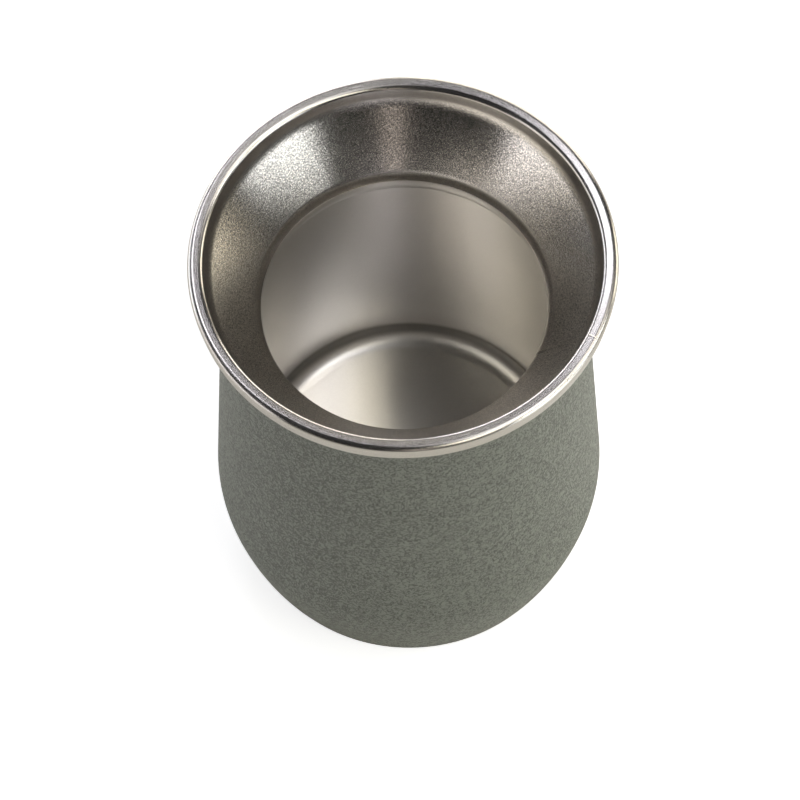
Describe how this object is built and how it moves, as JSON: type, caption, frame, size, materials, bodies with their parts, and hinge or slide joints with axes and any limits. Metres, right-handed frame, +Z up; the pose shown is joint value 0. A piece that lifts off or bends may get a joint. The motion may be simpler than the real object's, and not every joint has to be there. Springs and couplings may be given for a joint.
{
  "type": "mate cup",
  "caption": "Double-walled steel mate cup with a flared funnel mouth, a narrower throat, a straight inner chamber and a gourd-shaped green body on a flat foot ring.",
  "frame": {"origin": "middle of the foot ring on the ground, under the lowest point of the cup's axis", "axes": "+Z up the cup's axis, out of its mouth; +X and +Y lie on the ground, and the cup is the same all round"},
  "size_m": [0.09, 0.09, 0.107],
  "materials": {
    "liner_steel": "bead-blasted funnel, satin chamber and throat, finely brushed lip and collar",
    "green_paint": "grey-green wrinkle paint with a fine raised texture",
    "base_steel": "plain satin steel"
  },
  "bodies": {
    "root": {"inner_liner": "liner_steel", "outer_shell": "green_paint", "base_plate": "base_steel"}
  },
  "joints": []
}
